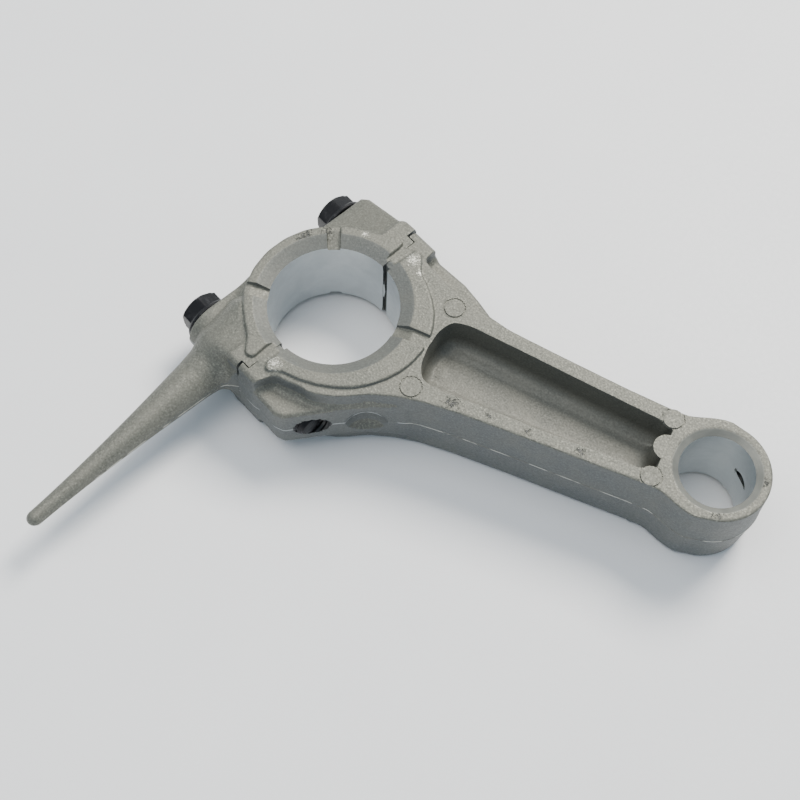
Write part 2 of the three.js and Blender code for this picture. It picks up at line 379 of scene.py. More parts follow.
def with_lugs(body: Array, lugs: Sequence[Outline], x: Array, y: Array, above: Array) -> Array:
    """A casting with the two lugs at its split, their outer ends sloped towards both faces.

    Args:
        body: Signed distance of the casting so far.
        lugs: Outlines of the upper and the lower lug.
        x: Place along the rod.
        y: Place across the rod.
        above: Distance from mid-thickness.

    Returns:
        Signed distance with the lugs.
    """
    upper_slope, upper_start, lower_start = 1.1, 31.3, 30.4
    across = SPLIT.read(x, y)[1]
    over = above - SIZES.face
    slopes = (
        (over + upper_slope * (across - upper_start)) / 1.49,
        (over - across - lower_start) / math.sqrt(2.0),
    )
    for outline, slope in zip(lugs, slopes):
        lug = both(both(outline.distance(x, y), over, 0.4), slope, 0.4)
        body = joined(body, lug, 1.2)
    return body


def with_pad(body: Array, pad: Outline, x: Array, y: Array, above: Array) -> Array:
    """A casting with its raised thrust pad, whose sides lean in by a quarter of their height.

    Args:
        body: Signed distance of the casting so far.
        pad: The pad's outline.
        x: Place along the rod.
        y: Place across the rod.
        above: Distance from mid-thickness.

    Returns:
        Signed distance with the pad.
    """
    side = pad.distance(x, y) + 0.25 * (above - SIZES.pad)
    return joined(body, both(side, above - SIZES.pad, 0.45), 0.3)


# ---------------------------------------------------------------- meshes


@dataclass(frozen=True)
class MeshData:
    """Corner points in millimetres and the four corner numbers of each face."""

    points: Array
    faces: Array

    def steepness(self) -> Array:
        """How far each face is from level: 0 for a level face, 1 for an upright one."""
        corners = self.points[self.faces]
        normal = np.cross(corners[:, 2] - corners[:, 0], corners[:, 3] - corners[:, 1])
        return 1.0 - np.abs(normal[:, 2]) / np.maximum(np.linalg.norm(normal, axis=1), 1e-12)


@dataclass(frozen=True)
class Lattice:
    """The grid of places where a casting's shape is worked out.

    Attributes:
        x: Grid lines along the rod.
        y: Grid lines across the rod.
        z: Grid lines in height, closer together where the thin steps are.
    """

    x: Array
    y: Array
    z: Array

    def skin(self, shape: Shape) -> MeshData:
        """The closed surface where the shape's signed distance is nought.

        Where a grid edge passes through the surface, the crossing point and the surface's normal are
        worked out. Each cell gets one corner point, the one that lies best on the planes of the
        crossings on its edges, so that sharp edges stay sharp. Each crossed edge gets a face between
        the four cells around it.

        Args:
            shape: Signed distance at places x, y, z.

        Returns:
            The surface's corner points and faces.
        """
        lines = (self.x, self.y, self.z)
        values = shape(self.x[:, None, None], self.y[None, :, None], self.z[None, None, :])
        values = np.broadcast_to(values, tuple(len(line) for line in lines))
        inside = values < 0
        low, axis_of, lower_inside = [], [], []
        for axis in range(3):
            a = np.take(inside, range(inside.shape[axis] - 1), axis=axis)
            b = np.take(inside, range(1, inside.shape[axis]), axis=axis)
            found = np.argwhere(a != b)
            low.append(found)
            axis_of.append(np.full(len(found), axis))
            lower_inside.append(a[tuple(found.T)])
        low, axis_of = np.concatenate(low), np.concatenate(axis_of)
        lower_inside = np.concatenate(lower_inside)
        step = np.eye(3, dtype=int)[axis_of]
        high = low + step
        start = np.stack([lines[i][low[:, i]] for i in range(3)], axis=1)
        end = np.stack([lines[i][high[:, i]] for i in range(3)], axis=1)
        crossing = self._crossings(shape, start, end, values[tuple(low.T)], values[tuple(high.T)])
        normal = self._normals(shape, crossing)

        sizes = np.array([len(line) - 1 for line in lines])
        after, last = (axis_of + 1) % 3, (axis_of + 2) % 3
        around = []
        for back_after, back_last in ((1, 1), (0, 1), (0, 0), (1, 0)):
            cell = low.copy()
            rows = np.arange(len(cell))
            cell[rows, after] -= back_after
            cell[rows, last] -= back_last
            around.append((cell[:, 0] * sizes[1] + cell[:, 1]) * sizes[2] + cell[:, 2])
        around = np.stack(around, axis=1)
        cells, number = np.unique(around, return_inverse=True)
        number = number.reshape(around.shape)
        points = self._corner_points(cells, number, crossing, normal, sizes)
        faces = np.where(lower_inside[:, None], number, number[:, ::-1])
        return MeshData(points, faces)

    def _crossings(self, shape: Shape, start: Array, end: Array, f0: Array, f1: Array) -> Array:
        """Places where grid edges pass through the surface, by halving and straight-line guesses.

        Args:
            shape: Signed distance at places x, y, z.
            start: Lower end of each edge.
            end: Upper end of each edge.
            f0: Distance at the lower ends.
            f1: Distance at the upper ends.

        Returns:
            One crossing place for each edge.
        """
        start, end, f0, f1 = start.copy(), end.copy(), f0.copy(), f1.copy()
        for turn in range(3):
            share = f0 / (f0 - f1) if turn % 2 == 0 else np.full(len(f0), 0.5)
            middle = start + (end - start) * share[:, None]
            f = shape(*middle.T)
            same = (f < 0) == (f0 < 0)
            start[same], f0[same] = middle[same], f[same]
            end[~same], f1[~same] = middle[~same], f[~same]
        share = np.clip(f0 / np.where(f0 == f1, 1.0, f0 - f1), 0.0, 1.0)
        return start + (end - start) * share[:, None]

    def _normals(self, shape: Shape, places: Array, reach: float = 0.01) -> Array:
        """Outward normals: the sum of the distances at four corners of a tiny tetrahedron, each times
        the direction to its corner.

        Args:
            shape: Signed distance at places x, y, z.
            places: Places on the surface.
            reach: How far the corners are from each place, per axis.

        Returns:
            One unit normal for each place.
        """
        total = np.zeros_like(places)
        for corner in ((1, -1, -1), (-1, -1, 1), (-1, 1, -1), (1, 1, 1)):
            direction = np.array(corner, float)
            total += shape(*(places + reach * direction).T)[:, None] * direction
        return total / np.maximum(np.linalg.norm(total, axis=1), 1e-12)[:, None]

    def _corner_points(self, cells: Array, number: Array, crossing: Array, normal: Array, sizes: Array) -> Array:
        """One point in each cell, nearest in least squares to the planes of its crossings.

        Args:
            cells: Numbers of the cells that the surface passes through.
            number: For each crossing, the places of its four cells in that list.
            crossing: Crossing points.
            normal: Surface normals there.
            sizes: Number of cells along each axis.

        Returns:
            The points, kept inside their cells.
        """
        flat = number.ravel()
        count = np.bincount(flat, minlength=len(cells)).astype(float)

        def gather(amount: Array) -> Array:
            """Sum an amount of each crossing over the cells that it belongs to."""
            return np.bincount(flat, weights=np.repeat(amount, 4), minlength=len(cells))

        middle = np.stack([gather(crossing[:, i]) / count for i in range(3)], axis=1)
        offset = (crossing * normal).sum(1)
        square = np.empty((len(cells), 3, 3))
        right = np.empty((len(cells), 3))
        for i in range(3):
            right[:, i] = gather(normal[:, i] * offset)
            for j in range(i, 3):
                square[:, i, j] = square[:, j, i] = gather(normal[:, i] * normal[:, j])
        right -= np.einsum("nij,nj->ni", square, middle)
        strength, directions = np.linalg.eigh(square)
        keep = strength > 0.08 * strength[:, 2:3]
        inverse = np.where(keep, 1.0 / np.where(keep, strength, 1.0), 0.0)
        shift = np.einsum("nij,nj,nkj,nk->ni", directions, inverse, directions, right)
        places = middle + shift
        index = np.stack([cells // (sizes[1] * sizes[2]), cells // sizes[2] % sizes[1], cells % sizes[2]], axis=1)
        lines = (self.x, self.y, self.z)
        lowest = np.stack([lines[i][index[:, i]] for i in range(3)], axis=1)
        highest = np.stack([lines[i][index[:, i] + 1] for i in range(3)], axis=1)
        return np.clip(places, lowest, highest)


def spaced(low: float, high: float, pitch: float) -> Array:
    """Evenly spaced grid lines from low to a little past high."""
    return low + pitch * np.arange(int(math.ceil((high - low) / pitch)) + 1)


WORKING_PITCH = 0.46
SHANK_SKIP = 5
ROD_SPAN = ((-16.6, 126.0), (-36.0, 33.5))
CAP_SPAN = ((-47.5, 15.0), (-90.0, 40.0))


def working_pitch() -> float:
    return WORKING_PITCH * 1.0


def level_lines() -> Array:
    """Grid lines in height for both castings: close at the parting line, the boss and pad edges and
    the webs, wide on the plain sides."""
    upper = np.concatenate([
        [0.09, 0.26, 0.6, 1.0, 1.6, 2.2, 2.62, 3.1, 3.7, 4.5, 5.3, 6.0],
        spaced(6.5, 8.4, 0.38), [9.2, 9.9], spaced(10.5, 14.3, 0.29),
    ])
    return np.concatenate([-upper[::-1], upper])


class Slot(Enum):
    """The record's material slots."""

    ROD = "cast_rod"
    CAP = "cast_cap"
    BOLT = "black_bolt"


class RodZone(IntEnum):
    """Finishes on the rod, in the order of its materials."""

    CAST = 0
    BORED = 1
    # Near-black painted shade inside the bolt holes and round the oil hole.
    DRILLED_SHADE = 2
    # Crank bore chamfers, darker and bluer: painted reflection.
    CHAMFER_REFLECTION = 3
    TURNED = 4
    # Upright faces, darker and bluer: painted shade and cool reflection.
    SIDE_SHADE_REFLECTION = 5
    # Pocket faces, darker: painted shade.
    POCKET_SHADE = 6


class CapZone(IntEnum):
    """Finishes on the cap, in the order of its materials."""

    CAST = 0
    BORED = 1
    # Crank bore chamfers, darker and bluer: painted reflection.
    CHAMFER_REFLECTION = 2
    # Upright faces, darker and bluer: painted shade and cool reflection.
    SIDE_SHADE_REFLECTION = 3


class Workshop:
    """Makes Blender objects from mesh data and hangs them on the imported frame.

    Attributes:
        centre: Centre of the crank bore at mid-thickness, in metres in the row frame.
    """

    def __init__(self, record: dict) -> None:
        """Find the crank bore's centre from the record's openings.

        Args:
            record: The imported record.
        """
        openings = {item["name"]: item["box_m"] for item in record["physics"]["openings"]}
        self.centre = np.mean(np.array(openings["crank_pin_bore"]), axis=0)

    def place(self, points: Array) -> Array:
        """Millimetres about the crank bore as metres in the row frame."""
        return points * MM + self.centre

    def piece(
        self,
        name: str,
        data: MeshData,
        materials: Sequence[bpy.types.Material],
        zones: Array,
        crease: float = 30.0,
    ) -> bpy.types.Object:
        """Make one object at the origin, with its place in its mesh.

        Args:
            name: Object name.
            data: Its mesh, in millimetres about the crank bore.
            materials: Materials in the order of the zone numbers.
            zones: Zone number of each face.
            crease: Angle in degrees past which an edge shades sharp.

        Returns:
            The object.
        """
        mesh = bpy.data.meshes.new(name)
        quads = len(data.faces)
        mesh.vertices.add(len(data.points))
        mesh.vertices.foreach_set("co", self.place(data.points).astype(np.float32).ravel())
        mesh.loops.add(4 * quads)
        mesh.loops.foreach_set("vertex_index", data.faces.astype(np.int32).ravel())
        mesh.polygons.add(quads)
        mesh.polygons.foreach_set("loop_start", np.arange(0, 4 * quads, 4, dtype=np.int32))
        mesh.polygons.foreach_set("material_index", zones.astype(np.int32))
        mesh.polygons.foreach_set("use_smooth", np.ones(quads, bool))
        mesh.update(calc_edges=True)
        mesh.validate()
        mesh.set_sharp_from_angle(angle=math.radians(crease))
        for material in materials:
            mesh.materials.append(material)
        item = bpy.data.objects.new(name, mesh)
        bpy.context.scene.collection.objects.link(item)
        log.info("%s: %d points, %d faces", name, len(data.points), quads)
        return item


# ---------------------------------------------------------------- finishes


class Nodes:
    """A small writer of shader nodes that returns sockets, so that a finish reads as a recipe."""

    def __init__(self, name: str) -> None:
        """Start a material with a principled surface."""
        self.material = bpy.data.materials.new(name)
        self.material.use_nodes = True
        self.tree = self.material.node_tree
        self.surface = self.tree.nodes["Principled BSDF"]
        self.place = self.add("ShaderNodeTexCoord").outputs["Object"]

    def add(self, kind: str, inputs: dict | None = None, **settings) -> bpy.types.Node:
        """Add a node.

        Args:
            kind: Node type.
            inputs: Values or sockets for its inputs, by name or number.
            settings: Attributes of the node.

        Returns:
            The node.
        """
        node = self.tree.nodes.new(kind)
        for key, value in settings.items():
            setattr(node, key, value)
        for key, value in (inputs or {}).items():
            self.feed(node.inputs[key], value)
        return node

    def feed(self, socket: bpy.types.NodeSocket, value: object) -> None:
        """Link a socket, or set it to a plain value."""
        if isinstance(value, bpy.types.NodeSocket):
            self.tree.links.new(value, socket)
        else:
            socket.default_value = value

    def noise(self, size: float, detail: float = 3.0, rough: float = 0.55, warp: float = 0.0) -> bpy.types.NodeSocket:
        """Cloudy noise whose patches are about this size in millimetres."""
        inputs = {"Vector": self.place, "Scale": 1.0 / (size * MM), "Detail": detail, "Roughness": rough,
                  "Distortion": warp}
        return self.add("ShaderNodeTexNoise", inputs).outputs["Fac"]

    def pits(self, size: float) -> bpy.types.NodeSocket:
        """Distance to the nearest of many scattered dots, spaced about this far in millimetres."""
        inputs = {"Vector": self.place, "Scale": 1.0 / (size * MM)}
        return self.add("ShaderNodeTexVoronoi", inputs).outputs["Distance"]

    def ramp(
        self, value: object, low: float, high: float, start: float = 0.0, end: float = 1.0
    ) -> bpy.types.NodeSocket:
        """Map a value between low and high to start and end, held at both."""
        inputs = {"Value": value, "From Min": low, "From Max": high, "To Min": start, "To Max": end}
        return self.add("ShaderNodeMapRange", inputs).outputs["Result"]

    def math(self, operation: str, a: object, b: object = 0.0) -> bpy.types.NodeSocket:
        """A sum, product or other operation of two values."""
        return self.add("ShaderNodeMath", {0: a, 1: b}, operation=operation).outputs[0]

    def tint(self, amount: object, first: Sequence[float] | object, second: Sequence[float]) -> bpy.types.NodeSocket:
        """Mix two colours.

        Args:
            amount: 0 for the first colour, 1 for the second.
            first: A colour or a socket.
            second: A colour.

        Returns:
            The mixed colour's socket.
        """
        node = self.add("ShaderNodeMix", data_type="RGBA")
        self.feed(node.inputs["Factor"], amount)
        self.feed(node.inputs[6], first)
        self.feed(node.inputs[7], second)
        return node.outputs[2]

    def spot(self, centre: Sequence[float], reach: float) -> bpy.types.NodeSocket:
        """1 at a place in metres, falling to 0 this many millimetres away."""
        far = self.add("ShaderNodeVectorMath", {0: self.place, 1: tuple(centre)}, operation="DISTANCE")
        return self.ramp(far.outputs["Value"], 0.0, reach * MM, 1.0, 0.0)

    def bump(self, height: object, depth: float, below: object = None) -> bpy.types.NodeSocket:
        """A bump this deep in millimetres, laid over another."""
        inputs = {"Height": height, "Distance": depth * MM, "Strength": 1.0}
        if below is not None:
            inputs["Normal"] = below
        return self.add("ShaderNodeBump", inputs).outputs["Normal"]


@dataclass(frozen=True)
class WearSpot:
    """A rubbed or nicked place on a casting: x, y and height in millimetres, and its reach."""

    x: float
    y: float
    z: float
    reach: float

    def centre(self, shop: Workshop) -> tuple[float, ...]:
        """Its place in metres in the row frame."""
        return tuple(shop.place(np.array([self.x, self.y, self.z])))


@dataclass(frozen=True)
class CastFinish:
    """Blasted cast aluminium: a fine bright and dark grain over slow clouds, with rubbed and nicked
    places.

    Attributes:
        body: Colour of the metal.
        deep: Colour in the grain's hollows.
        bright: Colour of its high points.
        worn: Colour where the skin is rubbed or the parting line stands out.
        cloud: Colour of its slow clouds.
        nick: Colour of the dirt in its nicks.
        rubbed: Places rubbed bright.
        nicked: Places with dark nicks.
    """

    body: tuple[float, ...] = (0.150, 0.150, 0.126, 1.0)
    deep: tuple[float, ...] = (0.090, 0.091, 0.076, 1.0)
    bright: tuple[float, ...] = (0.33, 0.325, 0.27, 1.0)
    worn: tuple[float, ...] = (0.66, 0.65, 0.58, 1.0)
    cloud: tuple[float, ...] = (0.175, 0.169, 0.140, 1.0)
    nick: tuple[float, ...] = (0.10, 0.10, 0.095, 1.0)
    rubbed: tuple[WearSpot, ...] = ()
    nicked: tuple[WearSpot, ...] = ()

    def make(self, name: str, shop: Workshop) -> bpy.types.Material:
        """Build the material.

        Args:
            name: Material name.
            shop: Gives the places of the worn spots.

        Returns:
            The material.
        """
        n = Nodes(name)
        grain = n.noise(0.55, 5.0, 0.65)
        clouds = n.noise(9.0, 3.0, 0.5)
        speck = n.pits(1.1)
        colour = n.tint(n.ramp(grain, 0.34, 0.56), self.deep, self.body)
        colour = n.tint(n.ramp(grain, 0.56, 0.74, 0.0, 0.75), colour, self.bright)
        colour = n.tint(n.ramp(clouds, 0.35, 0.7, 0.0, 0.35), colour, self.cloud)
        colour = n.tint(n.ramp(speck, 0.0, 0.22, 0.35, 0.0), colour, self.deep)
        rubs = self._patches(n, shop, self.rubbed, n.noise(0.5, 4.0, 0.8), 0.49, 0.55)
        nicks = self._patches(n, shop, self.nicked, n.noise(0.8, 4.0, 0.75, 0.8), 0.5, 0.56)
        colour = n.tint(n.math("MULTIPLY", rubs, 0.8), colour, self.worn)
        height = n.math("SUBTRACT", n.add("ShaderNodeSeparateXYZ", {0: n.place}).outputs[2], float(shop.centre[2]))
        seam = n.ramp(n.math("ABSOLUTE", height), 0.08 * MM, 0.22 * MM, 0.8, 0.0)
        seam = n.math("MULTIPLY", seam, n.ramp(n.noise(5.0, 2.0, 0.5), 0.45, 0.53))
        colour = n.tint(seam, colour, self.worn)
        colour = n.tint(nicks, colour, self.nick)
        n.feed(n.surface.inputs["Base Color"], colour)
        n.surface.inputs["Metallic"].default_value = 0.3
        roughness = n.ramp(grain, 0.3, 0.7, 0.62, 0.46)
        roughness = n.math("SUBTRACT", roughness, n.math("MULTIPLY", rubs, 0.2))
        n.feed(n.surface.inputs["Roughness"], roughness)
        surface = n.bump(n.noise(2.6, 2.0, 0.5), 0.10)
        surface = n.bump(grain, 0.085, surface)
        surface = n.bump(n.math("SUBTRACT", 1.0, nicks), 0.25, surface)
        n.feed(n.surface.inputs["Normal"], surface)
        return n.material

    def _patches(
        self, n: Nodes, shop: Workshop, spots: Sequence[WearSpot], break_up: object, low: float, high: float
    ) -> bpy.types.NodeSocket | float:
        """How worn the surface is: the nearest spot's falloff, broken into flecks by noise.

        Args:
            n: Writer of the material's nodes.
            shop: Gives the spots' places.
            spots: The worn places.
            break_up: Noise that breaks them up.
            low: Sum of falloff and noise where wear starts.
            high: Sum where it is full.

        Returns:
            The amount of wear, from 0 to 1.
        """
        if not spots:
            return 0.0
        total = n.spot(spots[0].centre(shop), spots[0].reach)
        for spot in spots[1:]:
            total = n.math("MAXIMUM", total, n.spot(spot.centre(shop), spot.reach))
        return n.ramp(n.math("ADD", break_up, n.ramp(total, 0.0, 1.0, -0.25, 0.06)), low, high)


@dataclass(frozen=True)
class MachinedFinish:
    """Bored aluminium: fine rings around the bores and a soft satin shine.

    Attributes:
        body: Colour of the metal.
        shade: Colour of its slow stains.
        roughness: Mean roughness.
        metallic: How metallic it is.
        grain: Depth of its fine grain in millimetres.
        pitch: Spacing of the tool's rings in millimetres.
    """

    body: tuple[float, ...] = (0.60, 0.635, 0.645, 1.0)
    shade: tuple[float, ...] = (0.52, 0.555, 0.57, 1.0)
    roughness: float = 0.36
    metallic: float = 0.8
    grain: float = 0.012
    pitch: float = 0.35

    def make(self, name: str) -> bpy.types.Material:
        """Build the material.

        Args:
            name: Material name.

        Returns:
            The material.
        """
        n = Nodes(name)
        stain = n.noise(7.0, 3.0, 0.5, 0.6)
        colour = n.tint(n.ramp(stain, 0.35, 0.7), self.body, self.shade)
        n.feed(n.surface.inputs["Base Color"], colour)
        n.surface.inputs["Metallic"].default_value = self.metallic
        wave = {"Vector": n.place, "Scale": 0.314 / (self.pitch * MM), "Distortion": 0.6, "Detail": 2.0}
        rings = n.add("ShaderNodeTexWave", wave, bands_direction="Z").outputs["Fac"]
        smudge = n.noise(1.2, 5.0, 0.65)
        n.feed(n.surface.inputs["Roughness"], n.ramp(smudge, 0.3, 0.7, self.roughness - 0.06, self.roughness + 0.1))
        surface = n.bump(rings, 0.006)
        surface = n.bump(smudge, self.grain, surface)
        n.feed(n.surface.inputs["Normal"], surface)
        return n.material


# Near-black finish inside the bolt holes and round the oil hole: painted shade in these recesses.
DRILLED_SHADE_FINISH = MachinedFinish(body=(0.05, 0.051, 0.05, 1.0), shade=(0.02, 0.02, 0.02, 1.0))
# Darker, bluer finish on the crank bore's chamfers: painted reflection of dark surroundings over the cast grain.
CHAMFER_REFLECTION_FINISH = CastFinish(
    body=(0.135, 0.140, 0.129, 1.0), deep=(0.100, 0.104, 0.096, 1.0), bright=(0.22, 0.225, 0.205, 1.0))
# Darker, bluer finish on upright faces: painted shade and cool reflection, chosen by which way a face points.
SIDE_SHADE_REFLECTION_FINISH = CastFinish(
    body=(0.126, 0.134, 0.131, 1.0), deep=(0.100, 0.106, 0.104, 1.0), bright=(0.18, 0.19, 0.185, 1.0),
    worn=(0.60, 0.62, 0.61, 1.0))
# Darker finish in the pockets: painted shade in the recesses.
POCKET_SHADE_FINISH = CastFinish(
    body=(0.128, 0.129, 0.112, 1.0), deep=(0.098, 0.099, 0.086, 1.0), bright=(0.17, 0.17, 0.15, 1.0))
TURNED_FINISH = MachinedFinish(
    body=(0.215, 0.215, 0.190, 1.0), shade=(0.150, 0.152, 0.136, 1.0), roughness=0.42, metallic=0.4, grain=0.04)


@dataclass(frozen=True)
class BlackOxideFinish:
    """Black oxide on steel bolts: nearly black, faintly oily, with grey scuffs.

    Attributes:
        body: Colour of the oxide.
        scuff: Colour where it has rubbed thin.
    """

    body: tuple[float, ...] = (0.009, 0.009, 0.0105, 1.0)
    scuff: tuple[float, ...] = (0.05, 0.05, 0.054, 1.0)

    def make(self, name: str) -> bpy.types.Material:
        """Build the material.

        Args:
            name: Material name.

        Returns:
            The material.
        """
        n = Nodes(name)
        grain = n.noise(0.4, 4.0, 0.6)
        patch = n.noise(3.0, 4.0, 0.65, 0.5)
        amount = n.math("MULTIPLY", n.ramp(patch, 0.5, 0.72), n.ramp(grain, 0.35, 0.65))
        n.feed(n.surface.inputs["Base Color"], n.tint(amount, self.body, self.scuff))
        n.surface.inputs["Metallic"].default_value = 0.65
        n.feed(n.surface.inputs["Roughness"], n.ramp(grain, 0.3, 0.7, 0.34, 0.52))
        n.feed(n.surface.inputs["Normal"], n.bump(grain, 0.03, n.bump(patch, 0.05)))
        return n.material


@dataclass(frozen=True)
class BenchFinish:
    """A pale painted bench top, very slightly mottled."""

    body: tuple[float, ...] = (0.84, 0.842, 0.85, 1.0)
    mottle: tuple[float, ...] = (0.81, 0.812, 0.825, 1.0)

    def make(self, name: str) -> bpy.types.Material:
        """Build the material.

        Args:
            name: Material name.

        Returns:
            The material.
        """
        n = Nodes(name)
        cloud = n.noise(60.0, 4.0, 0.5)
        fine = n.noise(1.5, 3.0, 0.6)
        n.feed(n.surface.inputs["Base Color"], n.tint(n.ramp(cloud, 0.3, 0.7), self.body, self.mottle))
        n.feed(n.surface.inputs["Roughness"], n.ramp(fine, 0.3, 0.7, 0.5, 0.62))
        n.feed(n.surface.inputs["Normal"], n.bump(fine, 0.03))
        return n.material


# ---------------------------------------------------------------- sub-assemblies


@dataclass
class RodCasting:
    """The rod: small end, shank with a pocket in each face, hub half, bolt bosses and thrust pads.

    Attributes:
        hub: Outer radius of the crank end.
        small_end: Outer radius of the piston end.
        face_edge: Radius of the cast faces' edges.
        boss_edge: Radius of the bosses' edges.
        cove: Radius between a boss and the body.
        pocket_floor: Radius between a pocket's side and its floor.
        shank: Outline of the tapered shank.
        upper_lug: Outline of the upper lug at the split.
        lower_lug: Outline of the lower lug.
        upper_boss: Outline of the upper bolt boss.
        lower_boss: Outline of the lower bolt boss.
        pad: Outline of the thrust pads.
        pocket: Outline of the pockets.
        lobes: Place and radius of each round lobe that stands into a pocket.
        witness_marks: Place and radius of each raised round mark on the faces.
        floor_marks: Place and radius of each raised round mark on the pocket floors.
        ledge_line: Where the floor's slight ledge starts, and its taper along the shank.
        dimple: Place and radius of the round dimple in the lower side.
        oil_hole: Where the oil hole leaves the pin bore and which way it runs, in degrees, then its
            radius.
        tapped: Depth of the upper and the lower tapped hole.
        plain_shank: The stretch where only one in SHANK_SKIP grid lines is kept, because nothing
            changes quickly along it.
    """

    hub: float = 26.2
    small_end: float = 14.0
    face_edge: float = 0.55
    boss_edge: float = 1.3
    cove: float = 2.2
    pocket_floor: float = 2.9
    shank: Outline = Outline((
        (4, -26.2), (12, -24.9), (20, -20.4), (27, -17.7), (34, -16), (44, -14.8), (60, -13.7), (80, -12.6),
        (92, -11.9), (99, -11.7), (104.5, -12.9), (110, -13.9), (110, 13.9), (104, 12.5), (98.5, 11.2),
        (92, 11.1), (80, 11.5), (60, 12.7), (46, 13.7), (38, 15.4), (27, 18.2), (20, 21.4), (12, 25.4),
    ), radius=25.0, steps=3)
    upper_lug: Outline = Outline((
        SPLIT.point(-4, 18), SPLIT.point(7.5, 18), SPLIT.point(6.2, 27), SPLIT.point(5.6, 32.6),
        SPLIT.point(-4, 32.6)), radius=0.6)
    lower_lug: Outline = Outline((
        SPLIT.point(-4, -31.4), SPLIT.point(4, -31.4), SPLIT.point(5.5, -27), SPLIT.point(8.5, -18),
        SPLIT.point(-4, -18)), radius=0.6)
    upper_boss: Outline = Outline((
        SPLIT.point(-4, 14), (30, 4), (46, 13.2), (40, 17.2), (34, 21), (28.4, 24.1), SPLIT.point(5, 32.4),
        SPLIT.point(-4, 31.3)), radius=2.5)
    lower_boss: Outline = Outline((
        SPLIT.point(-4, -31.3), SPLIT.point(12.4, -31.7), SPLIT.point(14.8, -30.7), (8.6, -29.5), (14.6, -25.2),
        (21.5, -20.9), (30, -17), (30, -4), SPLIT.point(-4, -14)), radius=2.0)
    pad: Outline = Outline((
        (*SPLIT.point(2.2, -15), 0.4), (*SPLIT.point(2.2, -21.6), 2.0), (*SPLIT.point(1.9, -24.6), 1.6),
        (-6.9, -26.2, 1.3), (-4.3, -25.2, 1.0), (-2.2, -24.4, 3.0), (2, -24.5), (7, -23.9), (12, -22.4),
        (16, -20.5), (19.4, -17.9), (22.4, -14.7), (24.9, -11.1), (26.6, -7.2), (27.6, -3), (27.8, 1),
        (27.1, 5), (25.6, 9), (23, 13), (19.6, 16.5), (17.2, 18.6, 4.0), (16.0, 21.0, 4.0), (15.0, 23.6, 1.2),
        (13.0, 25.0, 1.4), (*SPLIT.point(2.5, 24.2), 1.4), (*SPLIT.point(2.2, 21.5), 2.0),
        (*SPLIT.point(2.2, 15), 0.4),
    ), radius=14.0)
    pocket: Outline = Outline((
        (28.4, -1), (29.0, 5.0), (31.2, 9.2, 4.0), (36, 10.1), (50, 9.35), (65, 8.4), (80, 7.5), (91.5, 6.8, 1.0),
        (95.6, 5.6, 0.6), (95.6, -6.0, 0.6), (91.5, -8.3, 1.0), (80, -8.9), (65, -9.7), (50, -10.3),
        (36, -11.0), (31.2, -10.2, 4.0), (29.0, -6.6),
    ), radius=9.0, steps=4)
    lobes: tuple[tuple[float, float, float], ...] = ((94.6, 8.5, 2.9), (95.1, -9.1, 2.9), (96.0, 0.2, 3.6))
    witness_marks: tuple[tuple[float, float, float], ...] = (
        (29.8, 13.2, 2.9), (29.4, -13.4, 3.0), (94.6, 8.5, 2.9), (95.1, -9.1, 2.9))
    floor_marks: tuple[tuple[float, float, float], ...] = ((32.5, -1.0, 1.9), (32.5, -6.5, 1.9))
    ledge_line: tuple[float, float] = (5.3, 0.022)
    dimple: tuple[float, float, float] = (22.7, -25.7, 6.9)
    oil_hole: tuple[float, float, float] = (46.0, 108.0, 1.15)
    tapped: Point = (21.2, 40.0)
    plain_shank: Point = (36.0, 92.0)

    def shape(self, x: Array, y: Array, z: Array) -> Array:
        """The casting as a signed distance, negative in metal.

        Args:
            x: Place along the rod.
            y: Place across the rod.
            z: Height from mid-thickness.

        Returns:
            The distance at each place.
        """
        above, swell = np.abs(z), lean(z)
        end_fillet = 3.0
        plan = joined(self.shank.distance(x, y) - swell, np.hypot(x, y) - self.hub - swell, end_fillet)
        plan = joined(plan, np.hypot(x - SIZES.centres, y) - self.small_end - swell, end_fillet)
        body = both(plan, above - SIZES.face, self.face_edge)
        body = with_lugs(body, (self.upper_lug, self.lower_lug), x, y, above)
        for outline in (self.upper_boss, self.lower_boss):
            boss = both(outline.distance(x, y) - 0.5 * swell, above - SIZES.boss, self.boss_edge)
            body = joined(body, boss, self.cove)
        body = with_pad(body, self.pad, x, y, above)
        return self._cut_split(self._cut_plan(body, x, y, z), x, y, z)

    def _cut_plan(self, body: Array, x: Array, y: Array, z: Array) -> Array:
        """Cut what runs along Z: pockets, bores, the oil groove and the dimple in the lower side.

        Args:
            body: Signed distance of the uncut casting.
            x: Place along the rod.
            y: Place across the rod.
            z: Height from mid-thickness.

        Returns:
            The distance at each place, with the cuts.
        """
        above = np.abs(z)
        wall_draft, ledge_height, ledge_from, ledge_width = 0.06, 0.5, 40.0, 0.35
        wall = self.pocket.distance(x, y) - wall_draft * (above - SIZES.face)
        for lobe_x, lobe_y, radius in self.lobes:
            wall = np.maximum(wall, radius - np.hypot(x - lobe_x, y - lobe_y))
        start, slope = self.ledge_line
        ledge = ledge_height / (1.0 + np.exp(-(np.abs(y) - start + slope * (x - ledge_from)) / ledge_width))
        body = cut(body, both(wall, SIZES.web + ledge - above, self.pocket_floor), 0.2)
        face_rise, floor_rise, ring_cut = 0.14, 0.16, 0.22
        for mark_x, mark_y, radius in self.witness_marks:
            ring = np.hypot(x - mark_x, y - mark_y) - radius
            body = np.minimum(body, np.maximum(ring, above - SIZES.face - face_rise))
            body = cut(body, np.maximum(np.abs(ring) - ring_cut, SIZES.face - ring_cut - above))
        for mark_x, mark_y, radius in self.floor_marks:
            ring = np.hypot(x - mark_x, y - mark_y) - radius
            body = np.minimum(body, np.maximum(ring, above - SIZES.web - ledge - floor_rise))
        body = cut(body, bore(x, y, z, SIZES.crank_bore, SIZES.crank_chamfer, SIZES.pad))
